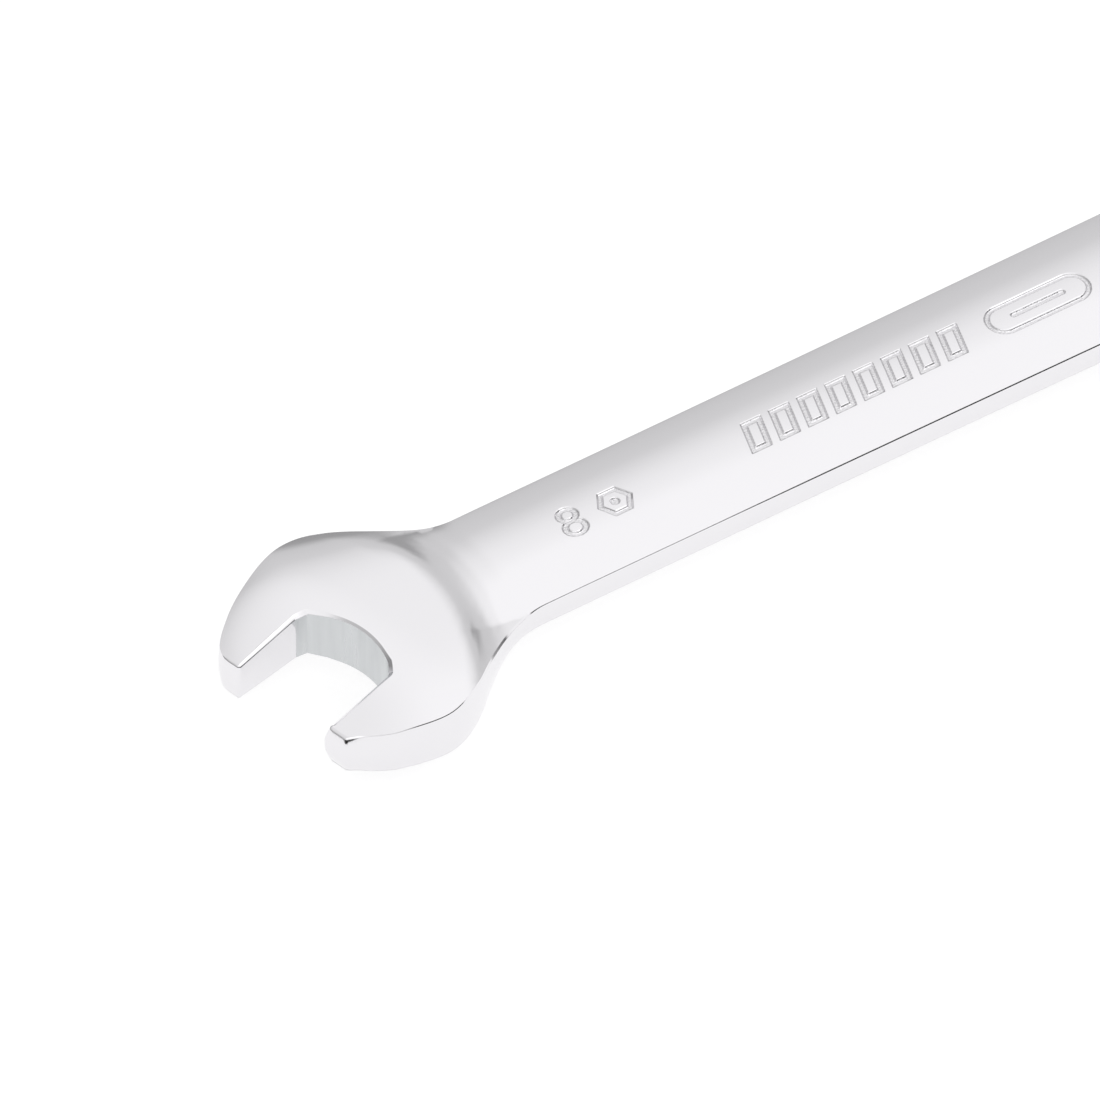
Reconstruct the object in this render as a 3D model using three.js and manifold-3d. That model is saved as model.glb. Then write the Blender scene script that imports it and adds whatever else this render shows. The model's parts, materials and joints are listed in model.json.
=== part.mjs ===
// Ratcheting combination wrench, 8 mm: an open-end head at 15 degrees on one end of a polished
// shank and a one-way ratcheting 12-point ring on the other. Millimetres, +Z up, length along X
// with the open end at -X. The tool lies on the flat underside of its ring; the origin is at the
// middle of its bounding box, on that face.
import * as THREE from 'three';
import { mergeVertices } from 'three/addons/utils/BufferGeometryUtils.js';
import Module from 'manifold-3d';

const wasm = await Module();
wasm.setup();

// ---- driving sizes -----------------------------------------------------------------------------------
const OVERALL_LENGTH = 140;
const JAW_SIZE = 8;
const JAW_PLAY = 0.1;
const JAW_ANGLE = THREE.MathUtils.degToRad(15);
const OPEN_HEAD_WIDTH = 19.3;
const OPEN_HEAD_THICKNESS = 4.5;
const SHANK_WIDTH = 10.0;
const SHANK_THICKNESS = 3.2;
const SHANK_EDGE_THICKNESS = 1.9;
const NOSE_THICKNESS = 3.2;
const SHANK_FLARE = 0.8;
const SOCKET_SIZE = 8;
const SOCKET_PLAY = 0.06;
const RING_THICKNESS = 7.1;
const GEAR_TEETH = 72;
const TOOTH_HEIGHT = 0.28;
const PLATE_THICKNESS = 0.55;
const CLIP_THICKNESS = 0.45;
const BOTTOM_LIP = 0.3;
const SPRING_WIRE = 0.28;
const SPRING_COIL = 1.6;
const SPRING_TURNS = 4;
const SPRING_LENGTH = 2.2;
const PAWL_WIDTH = 2.4;
const PAWL_TRAVEL = 0.5;

// ---- clearances --------------------------------------------------------------------------------------
const RUNNING_GAP = 0.08;
const SIDE_GAP = 0.1;
const PLATE_GAP = 0.05;
const MESH_GAP = 0.07;

// ---- derived sizes -----------------------------------------------------------------------------------
const HALF_RING = RING_THICKNESS / 2;
const HALF_OPEN_HEAD = OPEN_HEAD_THICKNESS / 2;
const HALF_JAW = (JAW_SIZE + JAW_PLAY) / 2;
const HALF_SHANK = SHANK_WIDTH / 2;
const SOCKET_CORNER = (SOCKET_SIZE + SOCKET_PLAY) / Math.sqrt(3);
const SOCKET_NOTCH = (SOCKET_SIZE + SOCKET_PLAY) / 2 / Math.cos(Math.PI / 12);
const JOURNAL_WALL = 0.85;
const JOURNAL_RADIUS = SOCKET_CORNER + JOURNAL_WALL;
const GEAR_ROOT = JOURNAL_RADIUS + 0.2;
const GEAR_TIP = GEAR_ROOT + TOOTH_HEIGHT;
const HALF_BAND = HALF_RING - BOTTOM_LIP - CLIP_THICKNESS - PLATE_THICKNESS - 2 * PLATE_GAP - SIDE_GAP;
const LIP_RADIUS = JOURNAL_RADIUS + RUNNING_GAP;
const BORE_RADIUS = GEAR_TIP + RUNNING_GAP;
const HALF_BORE = HALF_BAND + SIDE_GAP;
const PLATE_RADIUS = BORE_RADIUS + 0.5;
const RECESS_RADIUS = PLATE_RADIUS + RUNNING_GAP;
const PLATE_TOP = -HALF_BORE - PLATE_GAP;
const PLATE_BOTTOM = PLATE_TOP - PLATE_THICKNESS;
const CLIP_TOP = PLATE_BOTTOM - PLATE_GAP;
const CLIP_BOTTOM = CLIP_TOP - CLIP_THICKNESS;
const CLIP_RADIUS = RECESS_RADIUS + 0.27;
const CLIP_WIDTH = 0.85;
const CLIP_OPENING = THREE.MathUtils.degToRad(50);
const GROOVE_RADIUS = CLIP_RADIUS + PLATE_GAP;
const RING_RADIUS = GROOVE_RADIUS + 1.55;
const SEAL_WIRE = 0.5;
const SEAL_RADIUS = LIP_RADIUS - SEAL_WIRE / 2 - 0.02;
const SEAL_HEIGHT = HALF_BAND + 0.75;
const GEAR_HALF = HALF_RING - 0.1;

// The head outline was drawn for a head this wide; the jaw walls take up whatever the opening leaves.
const HEAD_UNIT = OPEN_HEAD_WIDTH / 19.3;
const NUT_DROP = -2.37 * HEAD_UNIT;
const FALL_CENTRE = -5.3 * HEAD_UNIT;
const JAW_REACH = 3.0 * HEAD_UNIT;
const THROAT_DEPTH = JAW_SIZE * 0.59;
const NOSE_WIDTH = 1.0 * HEAD_UNIT;
const SIDE_BULGE = 0.12;
const RING_BULGE = 0.3;
const NECK_FILLET = 9;
const NOSE_OVERHANG = 4.33 * HEAD_UNIT;
const NUT_X = -OVERALL_LENGTH / 2 + NOSE_OVERHANG;
const RING_X = OVERALL_LENGTH / 2 - RING_RADIUS;

// ---- pawl, in the ring's own axes: S along the pawl's travel, N square to it --------------------------
const TRAVEL_ANGLE = THREE.MathUtils.degToRad(30);
const PAWL_INNER = GEAR_TIP * 0.04;
const PAWL_OUTER = PAWL_INNER + PAWL_WIDTH;
const PAWL_FRONT = GEAR_ROOT * 0.8;
const PAWL_HEEL = GEAR_TIP + 1.9;
const HALF_PAWL = HALF_BAND - 0.45;
const HALF_POCKET = HALF_PAWL + SIDE_GAP;
const PLUNGER_LINE = (PAWL_INNER + PAWL_OUTER) / 2;
const PLUNGER_HEAD = 0.42;
const SPRING_START = PAWL_HEEL + PLATE_GAP + PLUNGER_HEAD + 0.03;
const SPRING_END = SPRING_START + SPRING_LENGTH;
const SPRING_BORE = SPRING_COIL / 2 + 0.12;

// ---- solids ------------------------------------------------------------------------------------------
function solid(geometry) {
  const bare = geometry.clone();
  bare.deleteAttribute('normal');
  bare.deleteAttribute('uv');
  const merged = mergeVertices(bare, 1e-4);
  const corner = merged.getIndex().array;
  const kept = [];
  for (let i = 0; i < corner.length; i += 3) {
    const [a, b, c] = [corner[i], corner[i + 1], corner[i + 2]];
    if (a !== b && b !== c && c !== a) kept.push(a, b, c);
  }
  const vertProperties = new Float32Array(merged.getAttribute('position').array);
  const build = (triVerts) => new wasm.Manifold(new wasm.Mesh({ numProp: 3, vertProperties, triVerts }));
  const made = build(new Uint32Array(kept));
  if (made.volume() > 0) return made;
  const flipped = [];
  for (let i = 0; i < kept.length; i += 3) flipped.push(kept[i], kept[i + 2], kept[i + 1]);
  return build(new Uint32Array(flipped));
}

function join(...pieces) {
  return pieces.reduce((all, piece) => all.add(piece));
}

function cut(body, ...tools) {
  return tools.reduce((left, tool) => left.subtract(tool), body);
}

// A closed profile of [radius, height] turned about Z.
function turned(profile, segments = 64) {
  const points = profile.map(([radius, height]) => new THREE.Vector2(radius, height));
  points.push(points[0].clone());
  const geometry = new THREE.LatheGeometry(points, segments);
  geometry.rotateX(Math.PI / 2);
  return solid(geometry);
}

function disc(radius, bottom, top, segments = 64) {
  return turned([[0, bottom], [radius, bottom], [radius, top], [0, top]], segments);
}

function prism(points, bottom, top) {
  const shape = new THREE.Shape(points.map(([x, y]) => new THREE.Vector2(x, y)));
  const geometry = new THREE.ExtrudeGeometry(shape, { depth: top - bottom, bevelEnabled: false });
  geometry.translate(0, 0, bottom);
  return solid(geometry);
}

// An outline whose sides swell outwards by the bulge at mid height and come back to the outline at the rims.
function barrel(points, rim, bulge) {
  const crown = rim * 1.45;
  const swell = bulge / (1 - Math.sqrt(1 - 1 / 1.45 ** 2));
  const shape = new THREE.Shape(points.map(([x, y]) => new THREE.Vector2(x, y)));
  const geometry = new THREE.ExtrudeGeometry(shape, {
    depth: 0.02,
    bevelThickness: crown,
    bevelSize: swell,
    bevelOffset: bulge - swell,
    bevelSegments: 3,
  });
  geometry.translate(0, 0, -0.01);
  return solid(geometry);
}

// ---- outline of the open end, about the foot of the nut centre on the shank axis ---------------------
function jawPoint(depth, side) {
  const x = depth * Math.cos(JAW_ANGLE) - side * Math.sin(JAW_ANGLE);
  const y = NUT_DROP + depth * Math.sin(JAW_ANGLE) + side * Math.cos(JAW_ANGLE);
  return [x, y];
}

// A smooth line through knots, each with the heading it is passed at, in degrees.
function sweepThrough(knots, steps) {
  const path = [];
  for (let i = 0; i + 1 < knots.length; i += 1) {
    const [from, to] = [knots[i], knots[i + 1]];
    const start = new THREE.Vector2(...from.at);
    const end = new THREE.Vector2(...to.at);
    const turn = THREE.MathUtils.euclideanModulo(to.heading - from.heading + 180, 360) - 180;
    const reach = start.distanceTo(end) / (3 * Math.cos(THREE.MathUtils.degToRad(turn / 4)) ** 2);
    const leave = THREE.MathUtils.degToRad(from.heading);
    const arrive = THREE.MathUtils.degToRad(to.heading);
    const first = new THREE.Vector2(Math.cos(leave), Math.sin(leave)).multiplyScalar(reach).add(start);
    const second = new THREE.Vector2(Math.cos(arrive), Math.sin(arrive)).multiplyScalar(-reach).add(end);
    const curve = new THREE.CubicBezierCurve(start, first, second, end);
    curve.getPoints(steps).slice(i === 0 ? 0 : 1).forEach((point) => path.push([point.x, point.y]));
  }
  return path;
}

function headPoint(x, y) {
  return [x * HEAD_UNIT, y * HEAD_UNIT];
}

// The upper cheek, from the shank round to its nose.
function upperCheek() {
  return sweepThrough([
    { at: [15.9 * HEAD_UNIT, HALF_SHANK - 0.05], heading: 180 },
    { at: headPoint(9.7, 6.9), heading: 145.5 },
    { at: headPoint(5.5, 8.92), heading: 180 },
    { at: headPoint(0.6, 7.05), heading: 211.8 },
    { at: headPoint(-2.3, 4.95), heading: 222.6 },
    { at: jawPoint(-JAW_REACH, HALF_JAW + NOSE_WIDTH), heading: 285 },
  ], 4);
}

// The lower cheek, from its nose back to the shank.
function lowerCheek() {
  return sweepThrough([
    { at: jawPoint(-JAW_REACH, -HALF_JAW - NOSE_WIDTH * 1.6), heading: 338 },
    { at: headPoint(2.0, -10.25), heading: 349 },
    { at: headPoint(5.1, -10.72), heading: 0 },
    { at: headPoint(8.9, -9.15), heading: 34 },
    { at: headPoint(11.1, -7.42), heading: 37.5 },
    { at: [16.8 * HEAD_UNIT, -HALF_SHANK], heading: 0 },
  ], 4);
}

// The opening between the flats, closed by a shallow arc with a short relief in each corner.
function jawOpening() {
  const upper = new THREE.Vector2(THROAT_DEPTH - 1.3, HALF_JAW - 0.28);
  const lower = new THREE.Vector2(THROAT_DEPTH - 1.0, -HALF_JAW + 0.75);
  const arcSteps = 12;
  const sagitta = 1.05;
  const points = [jawPoint(-3 * JAW_REACH, -HALF_JAW), jawPoint(THROAT_DEPTH - 1.7, -HALF_JAW)];
  for (let i = 0; i <= arcSteps; i += 1) {
    const along = i / arcSteps;
    const chord = lower.clone().lerp(upper, along);
    const swell = sagitta * 4 * along * (1 - along);
    points.push(jawPoint(chord.x + swell, chord.y));
  }
  points.push(jawPoint(THROAT_DEPTH - 2.2, HALF_JAW));
  points.push(jawPoint(-3 * JAW_REACH, HALF_JAW));
  return points;
}

const SPAN = RING_X - NUT_X;
const NECK = RING_RADIUS + 8;

function shankHalfWidthAtRing() {
  return HALF_SHANK + SHANK_FLARE / 2;
}

// Head, shank and the start of the ring in one outline, anticlockwise; the noses are rounded off.
function forgingOutline() {
  const nose = jawPoint(-JAW_REACH, HALF_JAW - 0.6);
  const noseBelow = jawPoint(-JAW_REACH, -HALF_JAW + 0.6);
  return [
    nose,
    noseBelow,
    ...lowerCheek(),
    [SPAN - NECK, -shankHalfWidthAtRing()],
    [SPAN, -shankHalfWidthAtRing()],
    [SPAN, shankHalfWidthAtRing()],
    [SPAN - NECK, shankHalfWidthAtRing()],
    ...upperCheek(),
  ];
}

// ---- height of the open end and shank ----------------------------------------------------------------
// The head's faces are flat in the middle and fall near the cheeks, more towards the upper cheek.
function headSlab() {
  const steps = 12;
  const reach = 12 * HEAD_UNIT;
  const top = [];
  for (let i = 0; i <= steps; i += 1) {
    const across = 1 - (2 * i) / steps;
    const drop = (across > 0 ? 0.28 : 0.11) * HALF_OPEN_HEAD;
    const share = Math.abs(across * reach / (9.6 * HEAD_UNIT)) ** 4.5;
    top.push([across * reach - 0.9 * HEAD_UNIT, HALF_OPEN_HEAD - drop * share]);
  }
  const bottom = top.map(([y, z]) => [y, -z]).reverse();
  return prism([...top, ...bottom], -reach, reach * 1.5).rotate([90, 0, 90]);
}

// Past the throat the head runs down to the shank through a hollow fillet round a point ahead of the jaw.
function headFall() {
  const level = [[15.9, 1.0], [16.6, 0.92], [17.4, 0.76], [18.4, 0.6], [19.8, 0.46], [21.6, 0.36]];
  const upper = level.map(([radius, share]) => [radius * HEAD_UNIT, share * HALF_OPEN_HEAD]);
  const lower = level.map(([radius, share]) => [radius * HEAD_UNIT, -share * HALF_OPEN_HEAD]).reverse();
  const dome = turned([[0, HALF_OPEN_HEAD], ...upper, ...lower, [0, -HALF_OPEN_HEAD]], 56);
  return dome.translate([FALL_CENTRE, 0, 0]);
}

// The head thins towards the noses.
function noseTaper() {
  const nose = NOSE_THICKNESS / 2;
  const noseAt = -JAW_REACH + NUT_DROP * Math.sin(JAW_ANGLE);
  const rise = 0.095;
  const length = 30 * HEAD_UNIT;
  const thick = nose + rise * (length - noseAt);
  const profile = [
    [noseAt * 2.4, -nose + 0.7],
    [noseAt, -nose],
    [length, -thick],
    [length, thick],
    [noseAt, nose],
    [noseAt * 2.4, nose - 0.7],
  ];
  const wedge = prism(profile, -length, length);
  return wedge.rotate([90, 0, 0]).rotate([0, 0, THREE.MathUtils.radToDeg(JAW_ANGLE)]);
}

// The shank's section: crowned on both faces, with a square edge that the barrel side rounds.
function shankBar() {
  const edge = SHANK_EDGE_THICKNESS / 2;
  const centre = SHANK_THICKNESS / 2;
  const steps = 6;
  const top = [];
  for (let i = 0; i <= steps; i += 1) {
    const across = 1 - (2 * i) / steps;
    const crown = edge + (centre - edge) * (1 - across * across);
    top.push([across * HALF_SHANK * 1.04, crown]);
  }
  const wing = [[-HALF_SHANK * 2, edge * 0.8], [-HALF_SHANK * 2, -edge * 0.8]];
  const bottom = top.map(([y, z]) => [y, -z]).reverse();
  const wingBack = [[HALF_SHANK * 2, -edge * 0.8], [HALF_SHANK * 2, edge * 0.8]];
  const section = prism([...top, ...wing, ...bottom, ...wingBack], 0, SPAN - 2);
  return section.rotate([90, 0, 90]).translate([2, 0, 0]);
}

// ---- ring end ----------------------------------------------------------------------------------------
function neckOutline() {
  const width = shankHalfWidthAtRing();
  const core = RING_RADIUS - RING_BULGE;
  const back = Math.sqrt((core + NECK_FILLET) ** 2 - (width + NECK_FILLET) ** 2);
  const share = core / (core + NECK_FILLET);
  const lean = THREE.MathUtils.radToDeg(Math.asin(back / (core + NECK_FILLET)));
  const side = [[-NECK, width], ...sweepThrough([
    { at: [-back, width], heading: 0 },
    { at: [-back * share, (width + NECK_FILLET) * share], heading: lean },
  ], 6)];
  side.push([-RING_RADIUS * 0.2, RING_RADIUS * 0.7]);
  const mirrored = side.map(([x, y]) => [x, -y]).reverse();
  return [...side, ...mirrored].reverse();
}

// Flat beside the ring, then a slope that runs out on the shank's faces.
function neckDome() {
  const run = [
    [RING_RADIUS + 1.6, HALF_RING],
    [RING_RADIUS + 2.2, HALF_RING * 0.93],
    [RING_RADIUS + 3.2, HALF_RING * 0.74],
    [RING_RADIUS + 4.4, HALF_RING * 0.58],
    [RING_RADIUS + 6.0, HALF_RING * 0.44],
    [RING_RADIUS + 8.5, HALF_RING * 0.3],
  ];
  const lower = run.map(([radius, height]) => [radius, -height]).reverse();
  return turned([[0, HALF_RING], ...run, ...lower, [0, -HALF_RING]], 40);
}

function ringBlank() {
  const edge = 0.55;
  const top = [
    [RING_RADIUS - 0.15, HALF_RING * 0.45],
    [RING_RADIUS - 0.3, HALF_RING - edge * 1.3],
    [RING_RADIUS - edge, HALF_RING - edge * 0.4],
    [RING_RADIUS - edge * 1.7, HALF_RING],
  ];
  const bottom = top.map(([radius, height]) => [radius, -height]).reverse();
  return turned([[0, -HALF_RING], ...bottom, [RING_RADIUS, 0], ...top, [0, HALF_RING]], 72);
}

// From the pawl's axes to the forging's: S leans by the travel angle from the line to the shank.
function fromPawlAxes(s, n) {
  const towardsShank = s * Math.cos(TRAVEL_ANGLE) + n * Math.sin(TRAVEL_ANGLE);
  const across = s * Math.sin(TRAVEL_ANGLE) - n * Math.cos(TRAVEL_ANGLE);
  return [-towardsShank, across];
}

function pawlBlock(front, heel, inner, outer, half) {
  const corner = 0.35;
  const plan = [
    [front, inner],
    [heel - corner, inner],
    [heel, inner + corner],
    [heel, outer - corner],
    [heel - corner, outer],
    [front, outer],
  ];
  return prism(plan.map(([s, n]) => fromPawlAxes(s, n)), -half, half);
}

// A round bar along the pawl's travel.
function travelBar(radius, from, to, segments = 24) {
  const bar = disc(radius, from, to, segments);
  const [x, y] = fromPawlAxes(0, PLUNGER_LINE);
  const heading = THREE.MathUtils.radToDeg(Math.PI - TRAVEL_ANGLE);
  return bar.rotate([0, 90, 0]).rotate([0, 0, heading]).translate([x, y, 0]);
}

function pawlPocket() {
  const chamber = pawlBlock(
    PAWL_FRONT - 0.5,
    PAWL_HEEL + PAWL_TRAVEL + SIDE_GAP,
    PAWL_INNER - PLATE_GAP,
    PAWL_OUTER + PLATE_GAP,
    HALF_POCKET,
  );
  return join(chamber, travelBar(SPRING_BORE, PAWL_HEEL, SPRING_END + 0.05));
}

function ringBore() {
  return join(
    disc(LIP_RADIUS, -HALF_RING - 1, HALF_RING + 1, 72),
    turned([[0, HALF_RING - 0.25], [LIP_RADIUS, HALF_RING - 0.25], [LIP_RADIUS + 0.35, HALF_RING + 0.1],
      [0, HALF_RING + 0.1]], 72),
    disc(BORE_RADIUS, -HALF_BORE - 0.01, HALF_BORE, 72),
    disc(RECESS_RADIUS, -HALF_RING - 1, -HALF_BORE, 72),
    disc(GROOVE_RADIUS, CLIP_BOTTOM - PLATE_GAP, CLIP_TOP + PLATE_GAP / 2, 72),
  );
}

function wrenchBody() {
  const forging = barrel(forgingOutline(), HALF_OPEN_HEAD * 0.88, SIDE_BULGE);
  const head = headSlab().intersect(headFall()).intersect(noseTaper());
  const faces = join(head, shankBar());
  const openEnd = cut(forging.intersect(faces), prism(jawOpening(), -10, 10));
  const neck = barrel(neckOutline(), HALF_RING * 1.3, RING_BULGE).intersect(neckDome());
  const blank = join(openEnd.translate([-SPAN, 0, 0]), neck, ringBlank());
  return cut(blank, ringBore(), pawlPocket()).translate([RING_X, 0, 0]);
}

// ---- ratchet -----------------------------------------------------------------------------------------
function toothedOutline(extra) {
  const points = [];
  const pitch = (2 * Math.PI) / GEAR_TEETH;
  const profile = [[0, GEAR_ROOT], [0.55, GEAR_TIP], [0.7, GEAR_TIP]];
  for (let tooth = 0; tooth < GEAR_TEETH; tooth += 1) {
    for (const [share, radius] of profile) {
      const angle = (tooth + share) * pitch;
      points.push([(radius + extra) * Math.cos(angle), (radius + extra) * Math.sin(angle)]);
    }
  }
  return points;
}

function twelvePoint() {
  const points = [];
  for (let i = 0; i < 24; i += 1) {
    const angle = (i * Math.PI) / 12;
    const radius = i % 2 === 0 ? SOCKET_CORNER : SOCKET_NOTCH;
    points.push([radius * Math.cos(angle), radius * Math.sin(angle)]);
  }
  return points;
}

function leadIn(side) {
  const deep = side * (GEAR_HALF - 0.45);
  const face = side * (GEAR_HALF + 0.02);
  return turned([[0, deep], [SOCKET_NOTCH - 0.05, deep], [SOCKET_CORNER + 0.2, face], [0, face]], 72);
}

function sealGroove() {
  const half = SEAL_WIRE / 2 + 0.04;
  const floor = SEAL_RADIUS - SEAL_WIRE / 2 - 0.02;
  return turned([[floor, SEAL_HEIGHT - half], [JOURNAL_RADIUS + 1, SEAL_HEIGHT - half],
    [JOURNAL_RADIUS + 1, SEAL_HEIGHT + half], [floor, SEAL_HEIGHT + half]], 72);
}

function gearHub() {
  const edge = 0.15;
  return turned([
    [0, -GEAR_HALF],
    [JOURNAL_RADIUS - edge, -GEAR_HALF],
    [JOURNAL_RADIUS, -GEAR_HALF + edge],
    [JOURNAL_RADIUS, GEAR_HALF - edge],
    [JOURNAL_RADIUS - edge, GEAR_HALF],
    [0, GEAR_HALF],
  ], 72);
}

function ratchetGear() {
  const blank = join(gearHub(), prism(toothedOutline(0), -HALF_BAND, HALF_BAND));
  const bore = prism(twelvePoint(), -HALF_RING - 1, HALF_RING + 1);
  return cut(blank, bore, leadIn(1), leadIn(-1), sealGroove());
}

function pawl() {
  const block = pawlBlock(PAWL_FRONT, PAWL_HEEL, PAWL_INNER, PAWL_OUTER, HALF_PAWL);
  return cut(block, prism(toothedOutline(MESH_GAP), -HALF_BORE, HALF_BORE));
}

function springPlunger() {
  const start = PAWL_HEEL + PLATE_GAP;
  const head = travelBar(SPRING_COIL / 2 - 0.02, start, start + PLUNGER_HEAD);
  const stemRadius = SPRING_COIL / 2 - SPRING_WIRE - 0.1;
  const stem = travelBar(stemRadius, start + PLUNGER_HEAD - 0.01, SPRING_END - PAWL_TRAVEL - 0.4);
  return join(head, stem);
}

class SpringLine extends THREE.Curve {
  getPoint(share, target = new THREE.Vector3()) {
    const radius = (SPRING_COIL - SPRING_WIRE) / 2;
    const angle = share * SPRING_TURNS * 2 * Math.PI;
    const length = SPRING_LENGTH - SPRING_WIRE - 0.02;
    const height = SPRING_WIRE / 2 + 0.01 + share * length;
    return target.set(radius * Math.cos(angle), radius * Math.sin(angle), height);
  }
}

function pawlSpring() {
  const section = new THREE.Shape();
  section.absarc(0, 0, SPRING_WIRE / 2, 0, 2 * Math.PI, false);
  const geometry = new THREE.ExtrudeGeometry(section, {
    steps: SPRING_TURNS * 14,
    curveSegments: 3,
    extrudePath: new SpringLine(),
  });
  const [x, y] = fromPawlAxes(0, PLUNGER_LINE);
  const heading = THREE.MathUtils.radToDeg(Math.PI - TRAVEL_ANGLE);
  return solid(geometry).translate([0, 0, SPRING_START]).rotate([0, 90, 0]).rotate([0, 0, heading])
    .translate([x, y, 0]);
}

function coverPlate() {
  const inner = JOURNAL_RADIUS + RUNNING_GAP;
  return turned([[inner, PLATE_BOTTOM], [PLATE_RADIUS, PLATE_BOTTOM], [PLATE_RADIUS, PLATE_TOP],
    [inner, PLATE_TOP]], 72);
}

function retainingRing() {
  const inner = CLIP_RADIUS - CLIP_WIDTH;
  const hoop = turned([[inner, CLIP_BOTTOM], [CLIP_RADIUS, CLIP_BOTTOM], [CLIP_RADIUS, CLIP_TOP],
    [inner, CLIP_TOP]], 72);
  const reach = RING_RADIUS;
  const spread = reach * Math.tan(CLIP_OPENING / 2);
  return cut(hoop, prism([[0, 0], [-reach, spread], [-reach, -spread]], -HALF_RING, 0));
}

function dustSeal() {
  const geometry = new THREE.TorusGeometry(SEAL_RADIUS, SEAL_WIRE / 2, 8, 48);
  geometry.translate(0, 0, SEAL_HEIGHT);
  return solid(geometry);
}

// ---- materials ---------------------------------------------------------------------------------------
function finish(colour, roughness, metalness) {
  return new THREE.MeshStandardMaterial({ color: colour, roughness, metalness });
}

const finishes = {
  polishedChrome: () => finish(0xd9dade, 0.12, 1),
  satinChrome: () => finish(0xb9bcc0, 0.32, 1),
  hardenedSteel: () => finish(0x8d8f92, 0.38, 1),
  springSteel: () => finish(0x7b7c80, 0.3, 1),
  blackOxide: () => finish(0x3b3c3f, 0.45, 0.9),
  zincPlate: () => finish(0xa9adb0, 0.35, 1),
  nitrileRubber: () => finish(0x17181a, 0.8, 0),
};

// ---- assembly ----------------------------------------------------------------------------------------
function meshOf(name, body, material) {
  const made = body.getMesh();
  const geometry = new THREE.BufferGeometry();
  geometry.setAttribute('position', new THREE.BufferAttribute(new Float32Array(made.vertProperties), 3));
  geometry.setIndex(new THREE.BufferAttribute(new Uint32Array(made.triVerts), 1));
  geometry.computeVertexNormals();
  const mesh = new THREE.Mesh(geometry, material);
  mesh.name = name;
  return mesh;
}

const wrench = new THREE.Group();
wrench.name = 'ratcheting_combination_wrench';
wrench.add(meshOf('wrench_body', wrenchBody(), finishes.polishedChrome()));

const ringEnd = new THREE.Group();
ringEnd.name = 'ratchet';
ringEnd.position.set(RING_X, 0, 0);
ringEnd.add(meshOf('ratchet_gear', ratchetGear(), finishes.satinChrome()));
ringEnd.add(meshOf('pawl', pawl(), finishes.hardenedSteel()));
ringEnd.add(meshOf('spring_plunger', springPlunger(), finishes.zincPlate()));
ringEnd.add(meshOf('pawl_spring', pawlSpring(), finishes.springSteel()));
ringEnd.add(meshOf('cover_plate', coverPlate(), finishes.blackOxide()));
ringEnd.add(meshOf('retaining_ring', retainingRing(), finishes.blackOxide()));
ringEnd.add(meshOf('dust_seal', dustSeal(), finishes.nitrileRubber()));
wrench.add(ringEnd);

// Stand the tool on its ring's underside with the origin at the middle of its plan.
const bounds = new THREE.Box3().setFromObject(wrench);
const middle = bounds.getCenter(new THREE.Vector3());
wrench.position.set(-middle.x, -middle.y, HALF_RING);
wrench.updateMatrixWorld(true);

export default wrench;
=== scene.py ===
# Ratcheting combination wrench, 8 mm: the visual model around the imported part.
# Sizes of the part are millimetres and MM turns them into metres. Bump depths, the floor's own size and
# height, and the camera's distance are metres.
import json
import math

import bpy
import numpy as np
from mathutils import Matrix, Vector
from mathutils.geometry import delaunay_2d_cdt


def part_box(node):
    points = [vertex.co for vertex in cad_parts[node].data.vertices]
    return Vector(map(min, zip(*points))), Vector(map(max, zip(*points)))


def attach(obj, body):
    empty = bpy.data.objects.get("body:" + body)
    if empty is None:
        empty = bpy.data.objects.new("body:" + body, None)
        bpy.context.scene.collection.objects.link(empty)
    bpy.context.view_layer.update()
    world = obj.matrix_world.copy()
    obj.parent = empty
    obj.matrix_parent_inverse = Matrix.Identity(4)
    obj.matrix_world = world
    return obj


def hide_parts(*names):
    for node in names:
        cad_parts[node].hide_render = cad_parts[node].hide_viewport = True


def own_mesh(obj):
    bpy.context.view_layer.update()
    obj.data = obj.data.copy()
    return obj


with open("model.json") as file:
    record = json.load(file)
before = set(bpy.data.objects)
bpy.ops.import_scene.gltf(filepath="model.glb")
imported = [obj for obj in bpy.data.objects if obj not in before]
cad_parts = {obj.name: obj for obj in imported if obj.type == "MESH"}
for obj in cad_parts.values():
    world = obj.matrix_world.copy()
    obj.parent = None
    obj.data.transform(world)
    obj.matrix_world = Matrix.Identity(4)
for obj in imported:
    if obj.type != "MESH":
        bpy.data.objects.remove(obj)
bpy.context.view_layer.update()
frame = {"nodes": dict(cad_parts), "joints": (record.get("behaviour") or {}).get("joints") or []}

MM = 0.001

# ---- where the part is, from its own record and boxes ------------------------------------------------
spin = next(j for j in frame["joints"] if j["name"] == "gear_spin")
RING_X, AXIS_Y, MID_Z = (v / MM for v in spin["pos_m"])
body_low, body_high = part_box("wrench_body")
HALF_RING = (body_high[2] - body_low[2]) / MM / 2
RING_R = body_high[0] / MM - RING_X
NUT_X = body_low[0] / MM + 4.325
SPAN = RING_X - NUT_X

# ---- sizes of the forging ----------------------------------------------------------------------------
# x runs from the nut's place to the ring and y to the upper cheek; heights are from the middle plane
JAW_TILT = math.radians(15)
HALF_JAW = 4.05
NUT_DROP = -2.37
REACH = 3.0
HEAD_HALF = 2.25
HEAD_MID = -0.8
HEAD_DROP = 0.63
HEAD_DROP_NEAR = 0.25
CROWN_R = 9.4
CROWN_POWER = 4.5
NOSE_HALF = 1.62
NOSE_SLOPE = 0.095
FALL_X = -5.3
FALL_Y = -0.1
SHANK_CENTRE = 1.6
SHANK_EDGE = 0.95
HALF_SHANK = 5.0
HALF_SHANK_RING = 5.4
NECK_FILLET = 9.0
RING_SWELL = 0.3
NOSE_CORNER = 0.34
MARK_DEPTH = 0.16
MARK_ZONE = (19.9, 65.8, -2.15, 2.15)

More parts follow.
